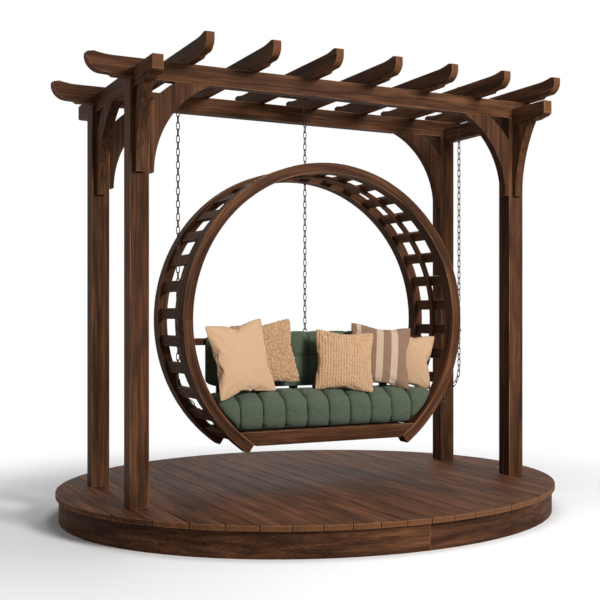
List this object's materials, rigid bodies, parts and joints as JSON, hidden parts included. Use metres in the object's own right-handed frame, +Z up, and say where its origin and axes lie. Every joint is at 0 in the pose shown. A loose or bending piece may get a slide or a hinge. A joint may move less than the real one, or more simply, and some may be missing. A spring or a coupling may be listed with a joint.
{
  "type": "porch swing seat",
  "caption": "Round hooped swing seat with tufted cushions and pillows, hung on chains under a timber pergola on an oval deck.",
  "frame": {"origin": "centre of the deck's underside, on the ground", "axes": "+Z up, the seat faces -Y, +X to the right when looking at the seat from the front"},
  "size_m": [3.3399, 2.85, 2.852],
  "materials": {
    "walnut_timber": "dark walnut stained timber, satin, worn lighter along the edges",
    "dark_iron": "dark bronzed iron chain and fittings",
    "zinc_steel": "zinc plated nuts and washers",
    "green_cotton": "forest green woven outdoor cotton, sewn channels",
    "beige_linen": "plain beige woven cover with piped edge",
    "beige_boucle": "beige looped boucle cover",
    "brown_stripe": "brown woven cover with cream stripes"
  },
  "bodies": {
    "pergola": {"deck_boards": "walnut_timber", "fascia_front_left": "walnut_timber", "fascia_front_right": "walnut_timber", "fascia_rear_left": "walnut_timber", "fascia_rear_right": "walnut_timber", "deck_joists": "walnut_timber", "post_front_left": "walnut_timber", "post_front_right": "walnut_timber", "post_rear_left": "walnut_timber", "post_rear_right": "walnut_timber", "front_beam": "walnut_timber", "rear_beam": "walnut_timber", "side_beam_left": "walnut_timber", "side_beam_right": "walnut_timber", "rafter_1": "walnut_timber", "rafter_2": "walnut_timber", "rafter_3": "walnut_timber", "rafter_4": "walnut_timber", "rafter_5": "walnut_timber", "rafter_6": "walnut_timber", "rafter_7": "walnut_timber", "chain_block": "walnut_timber", "brace_front_left": "walnut_timber", "brace_front_right": "walnut_timber", "brace_rear_left": "walnut_timber", "brace_rear_right": "walnut_timber", "tail_brace_left": "walnut_timber", "tail_brace_right": "walnut_timber", "side_brace_left": "walnut_timber", "beam_eye_bolts": "dark_iron", "eye_bolt_nuts": "zinc_steel"},
    "side_chains": {"chain_left": "dark_iron", "chain_right": "dark_iron"},
    "back_chain": {"chain_back": "dark_iron"},
    "seat": {"front_ring": "walnut_timber", "rear_ring": "walnut_timber", "middle_rib": "walnut_timber", "ring_slats": "walnut_timber", "front_apron": "walnut_timber", "rear_rail": "walnut_timber", "seat_ledgers": "walnut_timber", "seat_boards": "walnut_timber", "back_rail": "walnut_timber", "back_slats": "walnut_timber", "seat_eye_bolts": "dark_iron", "chain_end_left": "dark_iron", "chain_end_right": "dark_iron", "chain_end_hooks": "dark_iron", "seat_cushion": "green_cotton", "back_cushion": "green_cotton", "pillow_plain_left": "beige_linen", "pillow_rough_left": "beige_boucle", "pillow_rough_middle": "beige_boucle", "pillow_striped": "brown_stripe", "pillow_plain_right": "beige_linen"}
  },
  "joints": [
    {"name": "seat_swing", "type": "hinge", "parent": "pergola", "child": "side_chains", "pos_m": [0, -0.235, 2.6965], "axis": [1, 0, 0], "range_deg": [-4.3, 4.3]},
    {"name": "seat_hang", "type": "hinge", "parent": "side_chains", "child": "seat", "pos_m": [0, -0.235, 1.1828], "axis": [1, 0, 0], "range_deg": [-4.3, 4.3]},
    {"name": "back_chain_swing", "type": "hinge", "parent": "pergola", "child": "back_chain", "pos_m": [0, 0.1, 2.6965], "axis": [1, 0, 0], "range_deg": [-4.3, 4.3]}
  ],
  "couplings": [
    {"joint": "seat_hang", "follows": "seat_swing", "ratio": -1},
    {"joint": "back_chain_swing", "follows": "seat_swing", "ratio": 1}
  ]
}
